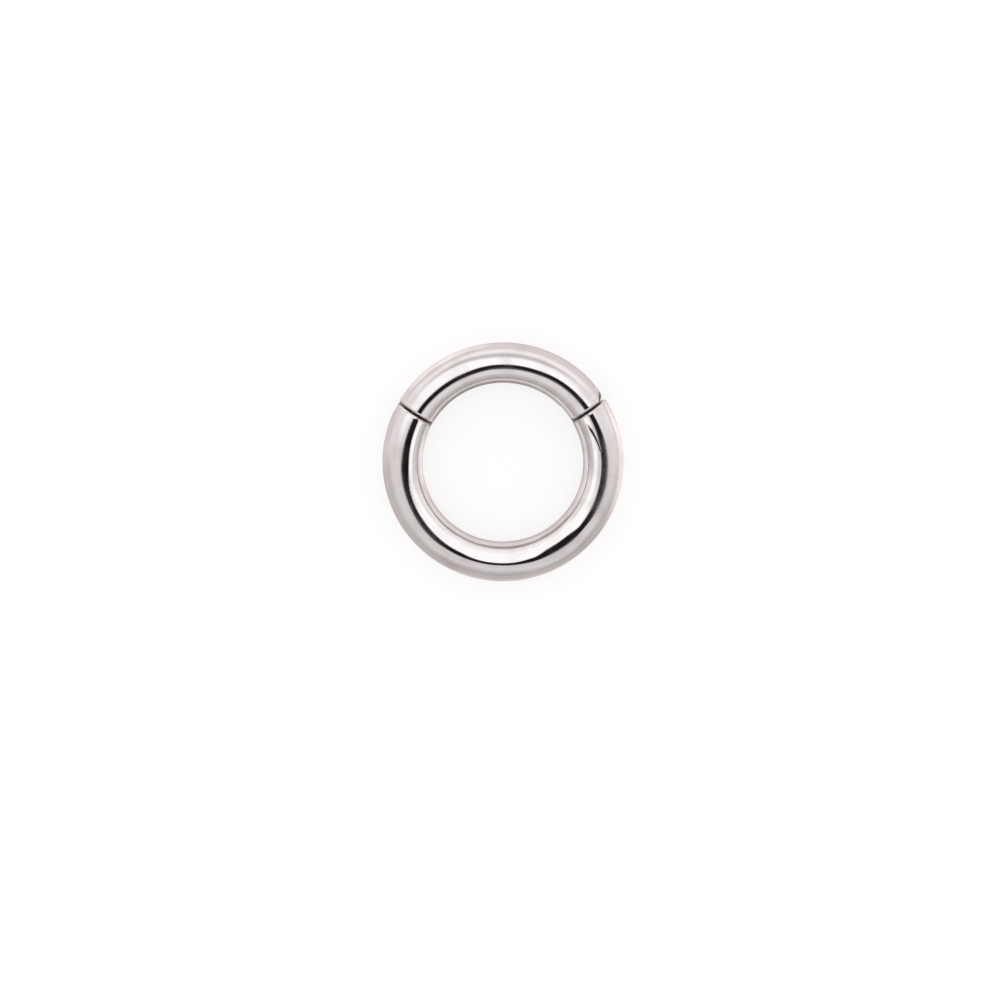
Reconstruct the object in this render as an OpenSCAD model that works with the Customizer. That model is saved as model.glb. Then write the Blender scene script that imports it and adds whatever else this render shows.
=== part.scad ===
// Hinged piercing hoop: round wire bent to a ring, with one segment of it on a hinge.
// It lies flat on its side: the ring's axis is Z, its centre is at x = 0 and y = 0, and it rests on z = 0.
// Seen from above, the segment is the +Y part of the ring, its hinge is on the right and its catch on the left.

/* [Ring] */
// Diameter of the wire
wire_d = 2.0; // [1.9:0.05:2.1]
// Clear diameter inside the ring
inner_d = 8.0; // [7:0.5:12]

/* [Seams] */
// Direction of the hinge seam from the ring's centre, in degrees from +X towards +Y
hinge_at = 32.3; // [28:0.1:36]
// Direction of the catch seam from the ring's centre, in degrees from +X towards +Y
catch_at = 149.8; // [144:0.1:154]
// Turn of each seam from the radius towards the middle of the segment, in degrees
seam_lean = 2.8; // [2:0.1:5]
// Gap between the two faces of a seam
seam_gap = 0.08; // [0.06:0.01:0.1]
// Width of the bevel round each end of the wire
rim_bevel = 0.10; // [0.06:0.01:0.12]

/* [Hinge] */
// Diameter of the pin
pin_d = 0.40; // [0.36:0.02:0.42]
// Distance of the pin from the middle of the wire, towards the outside of the ring
pin_out = 0.56; // [0.54:0.01:0.58]
// Distance of the pin from the middle of the seam, inside the segment
pin_in = 0.45; // [0.44:0.01:0.48]
// Radius of the hinge tongue's knuckle, which is round about the pin
knuckle_r = 0.44; // [0.43:0.01:0.46]
// Distance of the tongue's outer side from the middle of the wire, between the body and the knuckle
root_out = 0.66; // [0.64:0.01:0.72]
// Distance from the pin to the flat cut on the segment's outer corner
corner_cut = 0.30; // [0.28:0.01:0.34]
// Angle between the seam and that flat cut, in degrees
corner_angle = 56; // [52:1:60]

/* [Tongues] */
// Thickness of the tongue at each seam
tongue_t = 0.56; // [0.5:0.02:0.6]
// Length of the catch tongue, past the segment's end
catch_len = 0.50; // [0.4:0.05:0.6]
// How far a tongue's edges lie below the wire's surface
tongue_drop = 0.02; // [0.02:0.01:0.04]

/* [Fits] */
// Gap between a tongue and each wall of its slot
slot_gap = 0.03; // [0.02:0.01:0.04]
// Gap between a tongue's tip and the floor of its slot
tip_gap = 0.04; // [0.04:0.01:0.06]
// Radial gap round the pin in the hinge tongue, where it turns
running_gap = 0.02; // [0.015:0.005:0.03]
// Radial gap round the pin in the segment, where it is held
held_gap = 0.005; // [0.005:0.005:0.01]

/* [Hidden] */
steel = "gainsboro";
wire_r = wire_d / 2;
ring_r = (inner_d + wire_d) / 2;
// Half the width of every cutter that goes right across the wire
reach = 1.3 * wire_r;
// Half the side of the blocks that stand for all space on one side of a seam
span = 3 * ring_r;
// How far a tongue runs back into the metal that it is part of
tongue_root = wire_r / 2;
slot_t = tongue_t + 2 * slot_gap;
hinge_slot_depth = pin_in + knuckle_r + tip_gap;
catch_tip = seam_gap / 2 + catch_len;
$fn = 96;

// The whole ring, round its wire of radius r
module ring_wire(r) {
    translate([0, 0, wire_r])
        rotate_extrude()
            translate([ring_r, 0])
                circle(r);
}

// Frame of a seam: +X runs along the seam to the outside of the ring, and +Y goes in the ring's turning direction
module at_seam(angle, lean) {
    translate([ring_r * cos(angle), ring_r * sin(angle), wire_r])
        rotate(angle + lean)
            children();
}

// Frame of the hinge seam: +Y goes into the segment
module at_hinge() {
    at_seam(hinge_at, seam_lean)
        children();
}

// Frame of the catch seam, mirrored so that +Y goes into the segment here too
module at_catch() {
    at_seam(catch_at, -seam_lean)
        mirror([0, 1, 0])
            children();
}

// Frame of the pin: Z is its axis, and X and Y are the hinge seam's
module at_pin() {
    at_hinge()
        translate([pin_out, pin_in, 0])
            children();
}

// All space more than y on the segment's side of a seam
module past_seam(y) {
    translate([-span, y, -span])
        cube([2 * span, 2 * span, 2 * span]);
}

// The wedge of space that holds the segment, with its faces moved in by y
module segment_space(y) {
    intersection() {
        at_hinge()
            past_seam(y);
        at_catch()
            past_seam(y);
    }
}

// Cutter for the bevel round a wire end that starts at the seam's face and goes into the segment
module rim_cutter() {
    translate([0, seam_gap / 2, 0])
        rotate([-90, 0, 0])
            rotate_extrude()
                polygon([
                    [wire_r - rim_bevel, -rim_bevel],
                    [wire_r + rim_bevel, -rim_bevel],
                    [wire_r + rim_bevel, 2 * rim_bevel],
                    [wire_r - rim_bevel, 0],
                ]);
}

// The same cutter, going into the body
module body_rim_cutter() {
    mirror([0, 1, 0])
        rim_cutter();
}

// A flat plate across the wire from y0 to y1, in a seam's frame
module plate(y0, y1, thickness) {
    translate([-reach, y0, -thickness / 2])
        cube([2 * reach, y1 - y0, thickness]);
}

// Outline of the hinge tongue: flat at its tip, with a round knuckle about the pin at its outer side
module hinge_tongue_outline() {
    translate([-reach, -tongue_root])
        square([reach + pin_out, tongue_root + pin_in + knuckle_r]);
    translate([-reach, -tongue_root])
        square([reach + root_out, tongue_root + pin_in]);
    translate([pin_out, pin_in])
        circle(knuckle_r);
}

// The body's tongue, which the pin goes through
module hinge_tongue() {
    intersection() {
        ring_wire(wire_r - tongue_drop);
        at_hinge()
            linear_extrude(tongue_t, center = true)
                hinge_tongue_outline();
    }
}

// The segment's tongue, which snaps into the body
module catch_tongue() {
    intersection() {
        ring_wire(wire_r - tongue_drop);
        at_catch()
            plate(-catch_tip, tongue_root, tongue_t);
    }
}

// Cutter for the flat on the segment's outer corner, which lets the corner pass the body as it swings
module corner_cutter() {
    at_pin()
        rotate(corner_angle)
            translate([-wire_r, -corner_cut - wire_r, -reach])
                cube([wire_d, wire_r, 2 * reach]);
}

// Round hole for the pin, through all the metal above and below it
module pin_hole(gap) {
    at_pin()
        cylinder(r = pin_d / 2 + gap, h = 2 * reach, center = true);
}

// The long part of the ring, with the hinge tongue at one end and the catch slot at the other
module hoop_body() {
    color(steel)
        difference() {
            union() {
                difference() {
                    ring_wire(wire_r);
                    segment_space(-seam_gap / 2);
                    at_hinge()
                        body_rim_cutter();
                    at_catch()
                        body_rim_cutter();
                }
                hinge_tongue();
            }
            at_catch()
                plate(-catch_tip - tip_gap, tongue_root, slot_t);
            pin_hole(running_gap);
        }
}

// The part of the ring that swings open, with the hinge slot at one end and the catch tongue at the other
module swing_segment() {
    color(steel)
        difference() {
            union() {
                difference() {
                    ring_wire(wire_r);
                    at_hinge()
                        rim_cutter();
                    at_catch()
                        rim_cutter();
                    difference() {
                        translate([0, 0, wire_r])
                            cube(2 * span, center = true);
                        segment_space(seam_gap / 2);
                    }
                }
                catch_tongue();
            }
            at_hinge()
                plate(-tongue_root, hinge_slot_depth, slot_t);
            corner_cutter();
            pin_hole(held_gap);
        }
}

// The pin, with its ends ground flush with the wire
module hinge_pin() {
    color(steel)
        intersection() {
            ring_wire(wire_r);
            at_pin()
                cylinder(r = pin_d / 2, h = 2 * reach, center = true);
        }
}

hoop_body();
swing_segment();
hinge_pin();
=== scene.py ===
"""A mirror-polished piercing hoop with a hinged segment, lying on a pale studio floor.

The ring is two stretches of round wire that meet at two seams. A pin joins them at the hinge seam, where a
flat tongue of the body stands in a slot of the segment. At the catch seam a tongue of the segment stands in
a slot of the body. Lengths are in metres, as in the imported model, and angles are in degrees unless a name
says otherwise.
"""

import logging
import math
from dataclasses import dataclass
from enum import Enum

import bmesh
import bpy
import numpy as np
from mathutils import Matrix, Vector


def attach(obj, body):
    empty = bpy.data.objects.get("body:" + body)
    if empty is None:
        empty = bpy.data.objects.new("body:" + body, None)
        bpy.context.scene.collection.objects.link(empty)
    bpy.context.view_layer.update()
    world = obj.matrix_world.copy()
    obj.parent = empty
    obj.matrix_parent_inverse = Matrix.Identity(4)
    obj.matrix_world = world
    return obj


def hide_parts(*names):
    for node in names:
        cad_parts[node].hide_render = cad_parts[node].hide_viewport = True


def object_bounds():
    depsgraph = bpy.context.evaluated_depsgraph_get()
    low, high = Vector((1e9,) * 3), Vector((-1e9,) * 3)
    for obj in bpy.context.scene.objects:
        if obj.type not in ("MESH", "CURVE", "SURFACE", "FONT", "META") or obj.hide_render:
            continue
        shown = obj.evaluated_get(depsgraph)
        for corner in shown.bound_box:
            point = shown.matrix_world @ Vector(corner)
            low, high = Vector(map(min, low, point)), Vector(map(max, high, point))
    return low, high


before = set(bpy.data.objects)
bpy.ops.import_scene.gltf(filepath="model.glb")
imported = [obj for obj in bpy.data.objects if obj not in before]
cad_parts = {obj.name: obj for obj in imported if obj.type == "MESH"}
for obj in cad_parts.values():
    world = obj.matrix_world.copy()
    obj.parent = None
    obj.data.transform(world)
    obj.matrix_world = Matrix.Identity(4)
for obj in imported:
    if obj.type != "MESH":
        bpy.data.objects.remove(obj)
CAD_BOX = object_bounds()

MM = 0.001
MICRON = 0.000001
MATH = "ShaderNodeMath"
VECTOR = "ShaderNodeVectorMath"
MAP_RANGE = "ShaderNodeMapRange"

log = logging.getLogger("piercing_hoop")


def linear_colour(hex_code: str) -> tuple[float, float, float, float]:
    """Turns an sRGB hex colour into linear light.

    Args:
        hex_code: The colour as six hex digits after a hash.

    Returns:
        Red, green, blue and an alpha of 1, linear.
    """
    encoded = [int(hex_code[start : start + 2], 16) / 255 for start in (1, 3, 5)]
    linear = [c / 12.92 if c <= 0.04045 else ((c + 0.055) / 1.055) ** 2.4 for c in encoded]
    return (*linear, 1.0)


def add_node(tree: bpy.types.NodeTree, kind: str, feeds: dict | None = None, **settings) -> bpy.types.Node:
    """Adds one node to a tree, with its settings, its values and the links that feed it.

    Args:
        tree: The node tree that the node joins.
        kind: The node's type.
        feeds: For each input, by name or number, its value, the socket that feeds it, or a node whose first
            output does.
        settings: The node's own properties.

    Returns:
        The new node.
    """
    node = tree.nodes.new(kind)
    for name, value in settings.items():
        setattr(node, name, value)
    for key, feed in (feeds or {}).items():
        if isinstance(feed, bpy.types.Node):
            tree.links.new(feed.outputs[0], node.inputs[key])
        elif isinstance(feed, bpy.types.NodeSocket):
            tree.links.new(feed, node.inputs[key])
        else:
            node.inputs[key].default_value = feed
    return node


def blank_material(name: str) -> bpy.types.Material:
    """Makes a material whose node tree is still empty.

    Args:
        name: Name of the material.

    Returns:
        The material.
    """
    made = bpy.data.materials.new(name)
    made.use_nodes = True
    made.node_tree.nodes.clear()
    return made


class Cut(Enum):
    """What a cutter does to the piece that it meets."""

    JOIN = "UNION"
    REMOVE = "DIFFERENCE"
    KEEP_COMMON = "INTERSECT"


class End(Enum):
    """The two seams. The value is the way round the ring that leads from the seam into the segment."""

    HINGE = 1
    CATCH = -1


@dataclass(frozen=True)
class Ring:
    """The whole ring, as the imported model's box gives it.

    Attributes:
        wire_r: Radius of the wire.
        middle_r: Radius of the wire's middle line.
        middle_z: Height of the wire's middle line over the floor.
    """

    wire_r: float
    middle_r: float
    middle_z: float

    @classmethod
    def from_frame(cls) -> "Ring":
        """Reads the ring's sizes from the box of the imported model."""
        low, high = CAD_BOX
        wire_r = (high.z - low.z) / 2
        return cls(wire_r, (high.x - low.x) / 2 - wire_r, (high.z + low.z) / 2)


@dataclass(frozen=True)
class Seam:
    """One seam across the wire: an upright plane, leaned a little from the ring's radius.

    Attributes:
        ring: The ring that it cuts.
        end: Which of the two seams it is.
        angle: Direction from the ring's centre to the middle of the seam, from +X towards +Y.
        lean: Turn of the seam from the radius, towards the middle of the segment.
    """

    ring: Ring
    end: End
    angle: float
    lean: float = 2.8

    @property
    def middle(self) -> Vector:
        """Where the seam crosses the wire's middle line."""
        ring = self.ring
        turn = math.radians(self.angle)
        return Vector((ring.middle_r * math.cos(turn), ring.middle_r * math.sin(turn), ring.middle_z))

    @property
    def outward(self) -> Vector:
        """Unit vector along the seam, to the outside of the ring."""
        turn = math.radians(self.angle + self.end.value * self.lean)
        return Vector((math.cos(turn), math.sin(turn), 0))

    @property
    def inward(self) -> Vector:
        """Unit vector square to the seam, into the segment."""
        return Vector((0, 0, self.end.value)).cross(self.outward)

    def place(self, across: float, along: float) -> Vector:
        """Gives the point at two distances from the middle of the seam, at the wire's middle height.

        Args:
            across: Distance along the seam, towards the outside of the ring.
            along: Distance square to the seam, into the segment.

        Returns:
            The point.
        """
        return self.middle + self.outward * across + self.inward * along


def mesh_object(name: str, shape: bmesh.types.BMesh) -> bpy.types.Object:
    """Turns a bmesh into an object of the scene, with its faces pointing outwards.

    Args:
        name: Name of the object.
        shape: The closed shape, which is freed.

    Returns:
        The object.
    """
    bmesh.ops.recalc_face_normals(shape, faces=shape.faces)
    mesh = bpy.data.meshes.new(name)
    shape.to_mesh(mesh)
    shape.free()
    made = bpy.data.objects.new(name, mesh)
    bpy.context.scene.collection.objects.link(made)
    return made


def evaluated_copy(source: bpy.types.Object, name: str) -> bpy.types.Object:
    """Replaces an object by a plain mesh of what its modifiers make.

    Args:
        source: The object, which is removed.
        name: Name of the new object.

    Returns:
        The plain object.
    """
    graph = bpy.context.evaluated_depsgraph_get()
    mesh = bpy.data.meshes.new_from_object(source.evaluated_get(graph))
    source.modifiers.clear()
    bpy.data.objects.remove(source)
    mesh.name = name
    made = bpy.data.objects.new(name, mesh)
    bpy.context.scene.collection.objects.link(made)
    return made


def plate(name: str, seam: Seam, outline: list[tuple[float, float]], thickness: float) -> bpy.types.Object:
    """Makes a flat plate on the ring's middle plane, from an outline in a seam's own directions.

    Args:
        name: Name of the object.
        seam: The seam whose directions the outline uses.
        outline: Corners in order, each as distances across and along.
        thickness: Thickness of the plate, half above the middle plane and half below.

    Returns:
        The plate.
    """
    shape = bmesh.new()
    lift = Vector((0, 0, thickness / 2))
    bottom = [shape.verts.new(seam.place(*corner) - lift) for corner in outline]
    extruded = bmesh.ops.extrude_face_region(shape, geom=[shape.faces.new(bottom)])
    top = [part for part in extruded["geom"] if isinstance(part, bmesh.types.BMVert)]
    bmesh.ops.translate(shape, verts=top, vec=2 * lift)
    return mesh_object(name, shape)


def machine(piece: bpy.types.Object, tool: bpy.types.Object, cut: Cut) -> bpy.types.Object:
    """Joins a tool to a piece or cuts the piece with it.

    Args:
        piece: The piece, which is replaced.
        tool: The tool, which is used up.
        cut: What the tool does.

    Returns:
        The machined piece, under the same name.
    """
    name = piece.name
    piece.name = name + "_blank"
    step = piece.modifiers.new(cut.name, "BOOLEAN")
    step.operation = cut.value
    step.solver = "MANIFOLD"
    step.object = tool
    machined = evaluated_copy(piece, name)
    bpy.data.objects.remove(tool)
    return machined


@dataclass(frozen=True)
class WireBlank:
    """Round wire, bent to a stretch of the ring and buffed round at the rim of each end.

    Attributes:
        ring: The ring that the wire is bent to.
        stations: Steps along the whole stretch.
        columns: Steps round the wire.
        rim_steps: Steps across each buffed rim.
        weld: Distance under which points are one.
    """

    ring: Ring
    stations: int = 320
    columns: int = 112
    rim_steps: int = 10
    weld: float = 0.1 * MICRON

    SOCKETS = (
        ("Middle radius", "NodeSocketFloat"),
        ("Wire radius", "NodeSocketFloat"),
        ("Middle height", "NodeSocketFloat"),
        ("Start angle", "NodeSocketFloat"),
        ("Finish angle", "NodeSocketFloat"),
        ("Lean", "NodeSocketFloat"),
        ("Half gap", "NodeSocketFloat"),
        ("Rim radius", "NodeSocketFloat"),
        ("Stations", "NodeSocketInt"),
        ("Columns", "NodeSocketInt"),
        ("Rim steps", "NodeSocketInt"),
        ("Weld", "NodeSocketFloat"),
        ("Finish", "NodeSocketMaterial"),
    )

    def tree(self) -> bpy.types.NodeTree:
        """Builds the Geometry Nodes tree of the bent wire, or gives the one that is there.

        A grid is laid out with one row for each station along the wire and one column for each step round
        it. The first and last rows shrink to the middle of the wire's flat ends, the rows next to them go
        over the rims, and the others share out the angle between the two ends. A station near an end lies in
        a plane parallel to the seam, which a point at radius q from the ring's axis meets where its angle
        from the seam's own direction is acos(offset / q).

        Returns:
            The tree.
        """
        found = bpy.data.node_groups.get("bent_round_wire")
        if found:
            return found
        tree = bpy.data.node_groups.new("bent_round_wire", "GeometryNodeTree")
        for name, kind in self.SOCKETS:
            tree.interface.new_socket(name, in_out="INPUT", socket_type=kind)
        tree.interface.new_socket("Wire", in_out="OUTPUT", socket_type="NodeSocketGeometry")
        size = add_node(tree, "NodeGroupInput").outputs
        rows = add_node(tree, MATH, {0: size["Stations"], 1: 1.0}, operation="ADD")
        turns = add_node(tree, MATH, {0: size["Columns"], 1: 1.0}, operation="ADD")
        sheet = add_node(
            tree,
            "GeometryNodeMeshGrid",
            {"Size X": 1.0, "Size Y": 1.0, "Vertices X": rows, "Vertices Y": turns},
        )
        spot = add_node(tree, "ShaderNodeSeparateXYZ", {0: add_node(tree, "GeometryNodeInputPosition")})

        share = add_node(tree, MATH, {0: spot.outputs[0], 1: 0.5}, operation="ADD")
        exact = add_node(tree, MATH, {0: share, 1: size["Stations"]}, operation="MULTIPLY")
        station = add_node(tree, MATH, {0: exact}, operation="ROUND")
        to_go = add_node(tree, MATH, {0: size["Stations"], 1: station}, operation="SUBTRACT")
        nearest = add_node(tree, MATH, {0: station, 1: to_go}, operation="MINIMUM")
        open_out = add_node(tree, MATH, {0: nearest, 1: 1.0}, operation="MINIMUM")

        rim_r = size["Rim radius"]
        rim_end = add_node(tree, MATH, {0: size["Rim steps"], 1: 1.0}, operation="ADD")
        rim_range = {"From Min": 1.0, "From Max": rim_end, "To Min": 0.0, "To Max": math.pi / 2}
        start_rim = add_node(tree, MAP_RANGE, {"Value": station, **rim_range})
        finish_rim = add_node(tree, MAP_RANGE, {"Value": to_go, **rim_range})
        start_cos = add_node(tree, MATH, {0: start_rim}, operation="COSINE")
        finish_cos = add_node(tree, MATH, {0: finish_rim}, operation="COSINE")
        start_sin = add_node(tree, MATH, {0: start_rim}, operation="SINE")
        finish_sin = add_node(tree, MATH, {0: finish_rim}, operation="SINE")
        rise = add_node(tree, MATH, {0: start_sin, 1: finish_sin}, operation="ADD")
        short_of_full = add_node(tree, MATH, {0: 2.0, 1: rise}, operation="SUBTRACT")
        drop = add_node(tree, MATH, {0: short_of_full, 1: rim_r}, operation="MULTIPLY")
        full = add_node(tree, MATH, {0: size["Wire radius"], 1: drop}, operation="SUBTRACT")
        radius = add_node(tree, MATH, {0: full, 1: open_out}, operation="MULTIPLY")

        middle_r = size["Middle radius"]
        middle_z = size["Middle height"]
        round_share = add_node(tree, MATH, {0: spot.outputs[1], 1: 0.5}, operation="ADD")
        round_turn = add_node(tree, MATH, {0: round_share, 1: 2 * math.pi}, operation="MULTIPLY")
        round_cos = add_node(tree, MATH, {0: round_turn}, operation="COSINE")
        round_sin = add_node(tree, MATH, {0: round_turn}, operation="SINE")
        from_axis = add_node(tree, MATH, {0: radius, 1: round_cos, 2: middle_r}, operation="MULTIPLY_ADD")
        height = add_node(tree, MATH, {0: radius, 1: round_sin, 2: middle_z}, operation="MULTIPLY_ADD")

        lean_sin = add_node(tree, MATH, {0: size["Lean"]}, operation="SINE")
        setback = add_node(tree, MATH, {0: middle_r, 1: lean_sin}, operation="MULTIPLY")
        offset = add_node(tree, MATH, {0: size["Half gap"], 1: setback}, operation="SUBTRACT")
        square_turn = add_node(tree, MATH, {0: size["Lean"], 1: math.pi / 2}, operation="ADD")
        ends = []
        for rim_cos, angle, way in (
            (start_cos, size["Start angle"], "ADD"),
            (finish_cos, size["Finish angle"], "SUBTRACT"),
        ):
            left = add_node(tree, MATH, {0: 1.0, 1: rim_cos}, operation="SUBTRACT")
            plane = add_node(tree, MATH, {0: left, 1: rim_r, 2: offset}, operation="MULTIPLY_ADD")
            cosine = add_node(tree, MATH, {0: plane, 1: from_axis}, operation="DIVIDE")
            back = add_node(tree, MATH, {0: cosine}, operation="ARCCOSINE")
            swing = add_node(tree, MATH, {0: square_turn, 1: back}, operation="SUBTRACT")
            ends.append(add_node(tree, MATH, {0: angle, 1: swing}, operation=way))
        last_full = add_node(tree, MATH, {0: size["Stations"], 1: rim_end}, operation="SUBTRACT")
        between = add_node(
            tree,
            MAP_RANGE,
            {
                "Value": station,
                "From Min": rim_end,
                "From Max": last_full,
                "To Min": ends[0],
                "To Max": ends[1],
            },
        )

        flat_cos = add_node(tree, MATH, {0: between}, operation="COSINE")
        flat_sin = add_node(tree, MATH, {0: between}, operation="SINE")
        x = add_node(tree, MATH, {0: from_axis, 1: flat_cos}, operation="MULTIPLY")
        y = add_node(tree, MATH, {0: from_axis, 1: flat_sin}, operation="MULTIPLY")
        place = add_node(tree, "ShaderNodeCombineXYZ", {"X": x, "Y": y, "Z": height})
        bent = add_node(tree, "GeometryNodeSetPosition", {"Geometry": sheet, "Position": place})
        welded = add_node(tree, "GeometryNodeMergeByDistance", {"Geometry": bent, "Distance": size["Weld"]})
        real = add_node(tree, "GeometryNodeRealizeInstances", {"Geometry": welded})
        finished = add_node(tree, "GeometryNodeSetMaterial", {"Geometry": real, "Material": size["Finish"]})
        add_node(tree, "NodeGroupOutput", {"Wire": finished})
        return tree

    def stretch(
        self,
        name: str,
        finish: bpy.types.Material,
        angles: tuple[float, float],
        lean: float = 0.0,
        gap: float = 0.0,
        rim: float = 0.0,
        radius: float | None = None,
    ) -> bpy.types.Object:
        """Makes one stretch of the ring.

        Args:
            name: Name of the object.
            finish: The material of its surface.
            angles: Where the stretch starts and finishes, as directions of the two seams.
            lean: Turn of both end faces from the radius, away from the stretch.
            gap: Gap at each seam, half of which this stretch leaves.
            rim: Radius of the buffed rims.
            radius: Radius of the stretch, if it isn't the wire's own.

        Returns:
            The stretch, closed.
        """
        carrier = bpy.data.objects.new(name + "_carrier", bpy.data.meshes.new(name + "_carrier"))
        bpy.context.scene.collection.objects.link(carrier)
        nodes = carrier.modifiers.new("bent_round_wire", "NODES")
        nodes.node_group = self.tree()
        values = {
            "Middle radius": self.ring.middle_r,
            "Wire radius": radius or self.ring.wire_r,
            "Middle height": self.ring.middle_z,
            "Start angle": math.radians(angles[0]),
            "Finish angle": math.radians(angles[1]),
            "Lean": math.radians(lean),
            "Half gap": gap / 2,
            "Rim radius": rim,
            "Stations": self.stations,
            "Columns": self.columns,
            "Rim steps": self.rim_steps,
            "Weld": self.weld,
            "Finish": finish,
        }
        for socket in nodes.node_group.interface.items_tree:
            if socket.in_out == "INPUT":
                nodes[socket.identifier] = values[socket.name]
        return evaluated_copy(carrier, name)


@dataclass(frozen=True)
class Hinge:
    """The hinge's sizes: the body's tongue, the segment's slot and the pin.

    Attributes:
        seam: The seam at the hinge.
        pin_out: Distance of the pin from the middle of the wire, towards the outside of the ring.
        pin_in: Distance of the pin from the seam, inside the segment.
        pin_r: Radius of the pin.
        knuckle_r: Radius of the tongue's knuckle, about the pin.
        root_out: Distance of the tongue's outer side from the middle of the wire, between body and knuckle.
        corner_cut: Distance from the pin to the flat on the segment's outer corner.
        corner_angle: Angle between the seam and that flat.
        tip_gap: Gap between the tongue's tip and the floor of its slot.
        running_gap: Radial gap round the pin in the tongue, where it turns.
        held_gap: Radial gap round the pin in the segment, where it is held.
        arc_steps: Steps along the knuckle's round.
        drill_sides: Sides of the pin and of its holes.
    """

    seam: Seam
    pin_out: float = 0.56 * MM
    pin_in: float = 0.45 * MM
    pin_r: float = 0.20 * MM
    knuckle_r: float = 0.44 * MM
    root_out: float = 0.66 * MM
    corner_cut: float = 0.30 * MM
    corner_angle: float = 56.0
    tip_gap: float = 0.04 * MM
    running_gap: float = 0.02 * MM
    held_gap: float = 0.005 * MM
    arc_steps: int = 40
    drill_sides: int = 96

    @property
    def pin_middle(self) -> Vector:
        """Middle of the pin."""
        return self.seam.place(self.pin_out, self.pin_in)

    @property
    def slot_depth(self) -> float:
        """Depth of the segment's slot from the seam."""
        return self.pin_in + self.knuckle_r + self.tip_gap

    def tongue_outline(self, reach: float, root: float) -> list[tuple[float, float]]:
        """Gives the tongue's outline: flat at its tip, with a round knuckle about the pin at its outer side.

        Args:
            reach: A distance past the wire's surface on the inner side.
            root: How far the tongue runs back into the body.

        Returns:
            Corners in order, each as distances across and along.
        """
        first_turn = -math.acos((self.root_out - self.pin_out) / self.knuckle_r)
        corners = [(-reach, -root), (self.root_out, -root)]
        for step in range(self.arc_steps + 1):
            turn = first_turn + (math.pi / 2 - first_turn) * step / self.arc_steps
            across = self.pin_out + self.knuckle_r * math.cos(turn)
            corners.append((across, self.pin_in + self.knuckle_r * math.sin(turn)))
        corners.append((-reach, self.pin_in + self.knuckle_r))
        return corners

    def corner_outline(self, size: float) -> list[tuple[float, float]]:
        """Gives the outline of the cutter for the flat on the segment's outer corner.

        Args:
            size: Half the length of the cutter, and its whole width.

        Returns:
            Corners in order, each as distances across and along.
        """
        turn = math.radians(self.corner_angle)
        near = -self.corner_cut
        far = near - size
        corners = []
        for x, y in ((-size, far), (size, far), (size, near), (-size, near)):
            across = self.pin_out + x * math.cos(turn) - y * math.sin(turn)
            corners.append((across, self.pin_in + x * math.sin(turn) + y * math.cos(turn)))
        return corners

    def drill(self, name: str, radius: float, length: float) -> bpy.types.Object:
        """Makes a round bar on the pin's axis.

        Args:
            name: Name of the object.
            radius: Its radius.
            length: Its length, half above the middle plane and half below.

        Returns:
            The bar.
        """
        shape = bmesh.new()
        bmesh.ops.create_cone(
            shape,
            cap_ends=True,
            segments=self.drill_sides,
            radius1=radius,
            radius2=radius,
            depth=length,
            matrix=Matrix.Translation(self.pin_middle),
        )
        return mesh_object(name, shape)


@dataclass(frozen=True)
class Hoop:
    """Sizes that the body, the segment and the pin share.

    Attributes:
        ring: The ring.
        hinge: The hinge.
        catch: The seam at the catch.
        seam_gap: Gap between the two faces of a seam.
        rim_r: Radius of the buffed rim round each end of the wire.
        tongue_t: Thickness of both tongues.
        tongue_drop: How far a tongue's edges lie below the wire's surface.
        slot_gap: Gap between a tongue and each wall of its slot.
        catch_len: Length of the catch tongue, past the segment's end.
        cutter_reach: How far a cutter reaches from the wire's middle line, in radii of the wire.
    """

    ring: Ring
    hinge: Hinge
    catch: Seam
    seam_gap: float = 0.08 * MM
    rim_r: float = 0.14 * MM
    tongue_t: float = 0.56 * MM
    tongue_drop: float = 0.02 * MM
    slot_gap: float = 0.03 * MM
    catch_len: float = 0.50 * MM
    cutter_reach: float = 1.3

    @classmethod
    def from_frame(cls) -> "Hoop":
        """Sets the hoop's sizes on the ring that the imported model's box gives."""
        ring = Ring.from_frame()
        hinge_seam = Seam(ring, End.HINGE, angle=32.3)
        catch_seam = Seam(ring, End.CATCH, angle=149.8)
        return cls(ring, Hinge(hinge_seam), catch_seam)

    @property
    def reach(self) -> float:
        """A distance safely past the wire's surface."""
        return self.cutter_reach * self.ring.wire_r

    @property
    def root(self) -> float:
        """How far a tongue runs back into the metal that it is part of."""
        return self.ring.wire_r / 2

    @property
    def slot_t(self) -> float:
        """Width of both slots."""
        return self.tongue_t + 2 * self.slot_gap

    @property
    def catch_tip(self) -> float:
        """Distance of the catch tongue's tip from the seam."""
        return self.seam_gap / 2 + self.catch_len

    def across_plate(
        self, name: str, seam: Seam, start: float, stop: float, thickness: float
    ) -> bpy.types.Object:
        """Makes a plate that goes right across the wire at a seam.

        Args:
            name: Name of the object.
            seam: The seam.
            start: Where the plate starts, from the seam into the segment.
            stop: Where it stops.
            thickness: Its thickness.

        Returns:
            The plate.
        """
        corners = [(-self.reach, start), (self.reach, start), (self.reach, stop), (-self.reach, stop)]
        return plate(name, seam, corners, thickness)

    def tongue(
        self, name: str, seam: Seam, blank: WireBlank, finish: bpy.types.Material, outline: bpy.types.Object
    ) -> bpy.types.Object:
        """Makes a tongue: a plate whose edges follow the wire, a little below its surface.

        Args:
            name: Name of the object.
            seam: The seam that the tongue crosses.
            blank: The round wire that it is cut from.
            finish: The material of its surface.
            outline: The plate that it is cut to, which is used up.

        Returns:
            The tongue.
        """
        half = math.degrees(2 * self.reach / self.ring.middle_r)
        angles = (seam.angle - half, seam.angle + half)
        bar = blank.stretch(name, finish, angles, radius=self.ring.wire_r - self.tongue_drop)
        return machine(bar, outline, Cut.KEEP_COMMON)


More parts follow.
